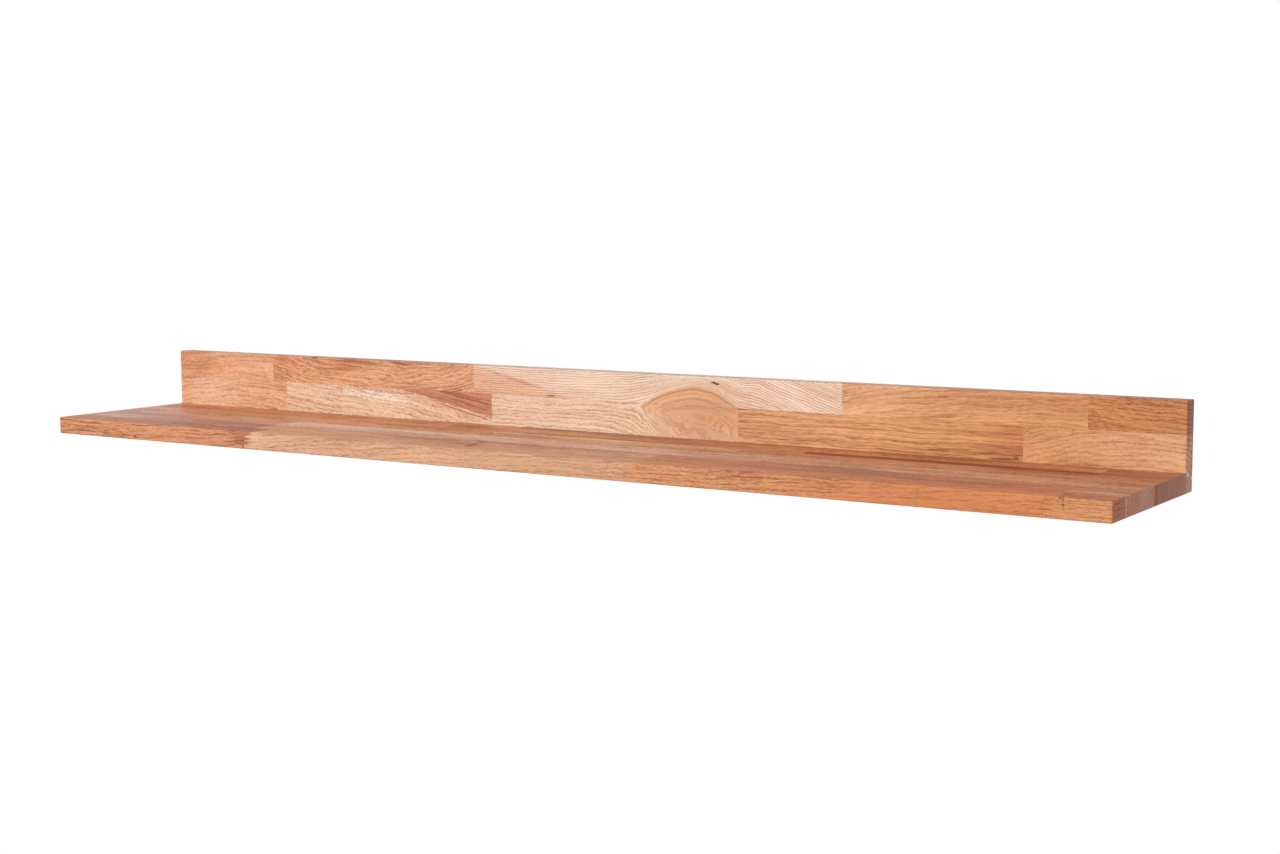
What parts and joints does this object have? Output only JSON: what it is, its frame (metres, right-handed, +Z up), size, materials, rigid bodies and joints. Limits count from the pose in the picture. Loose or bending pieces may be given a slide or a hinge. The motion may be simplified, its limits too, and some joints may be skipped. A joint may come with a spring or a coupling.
{
  "type": "wall shelf",
  "caption": "L-shaped wall shelf of finger-jointed oak staves: a shelf board with a taller back board, hung on the wall by keyhole plates let into its rear face.",
  "frame": {"origin": "centre of the back board's rear face, which lies on the wall", "axes": "+X along the shelf to the right as seen from the front, +Y out of the rear face into the wall, +Z up; the front edge faces -Y"},
  "size_m": [1.2, 0.2, 0.08],
  "materials": {
    "oak_pale": "oiled, satin",
    "oak_honey": "oiled, satin",
    "oak_tan": "oiled, satin",
    "oak_red_brown": "oiled, satin",
    "dowel_beech": "raw",
    "plate_steel": "zinc plated",
    "screw_steel": "zinc plated"
  },
  "bodies": {
    "root": {"back_bottom_row_stave_1": "oak_tan", "back_bottom_row_stave_2": "oak_pale", "back_bottom_row_stave_3": "oak_tan", "back_bottom_row_stave_4": "oak_honey", "back_middle_row_stave_1": "oak_honey", "back_middle_row_stave_2": "oak_pale", "back_middle_row_stave_3": "oak_pale", "back_middle_row_stave_4": "oak_tan", "back_middle_row_stave_5": "oak_honey", "back_top_row_stave_1": "oak_honey", "back_top_row_stave_2": "oak_tan", "back_top_row_stave_3": "oak_pale", "back_top_row_stave_4": "oak_honey", "back_top_row_stave_5": "oak_tan", "keyhole_plate_left": "plate_steel", "keyhole_plate_right": "plate_steel", "plate_screws": "screw_steel", "shelf_dowels": "dowel_beech", "shelf_fifth_row_stave_1": "oak_tan", "shelf_fifth_row_stave_2": "oak_red_brown", "shelf_fifth_row_stave_3": "oak_red_brown", "shelf_fifth_row_stave_4": "oak_red_brown", "shelf_fourth_row_stave_1": "oak_tan", "shelf_fourth_row_stave_2": "oak_honey", "shelf_fourth_row_stave_3": "oak_tan", "shelf_front_row_stave_1": "oak_red_brown", "shelf_front_row_stave_2": "oak_pale", "shelf_front_row_stave_3": "oak_tan", "shelf_front_row_stave_4": "oak_honey", "shelf_rear_row_stave_1": "oak_tan", "shelf_rear_row_stave_2": "oak_honey", "shelf_rear_row_stave_3": "oak_red_brown", "shelf_rear_row_stave_4": "oak_tan", "shelf_second_row_stave_1": "oak_red_brown", "shelf_second_row_stave_2": "oak_honey", "shelf_second_row_stave_3": "oak_red_brown", "shelf_second_row_stave_4": "oak_honey", "shelf_third_row_stave_1": "oak_tan", "shelf_third_row_stave_2": "oak_pale", "shelf_third_row_stave_3": "oak_honey"}
  },
  "joints": []
}
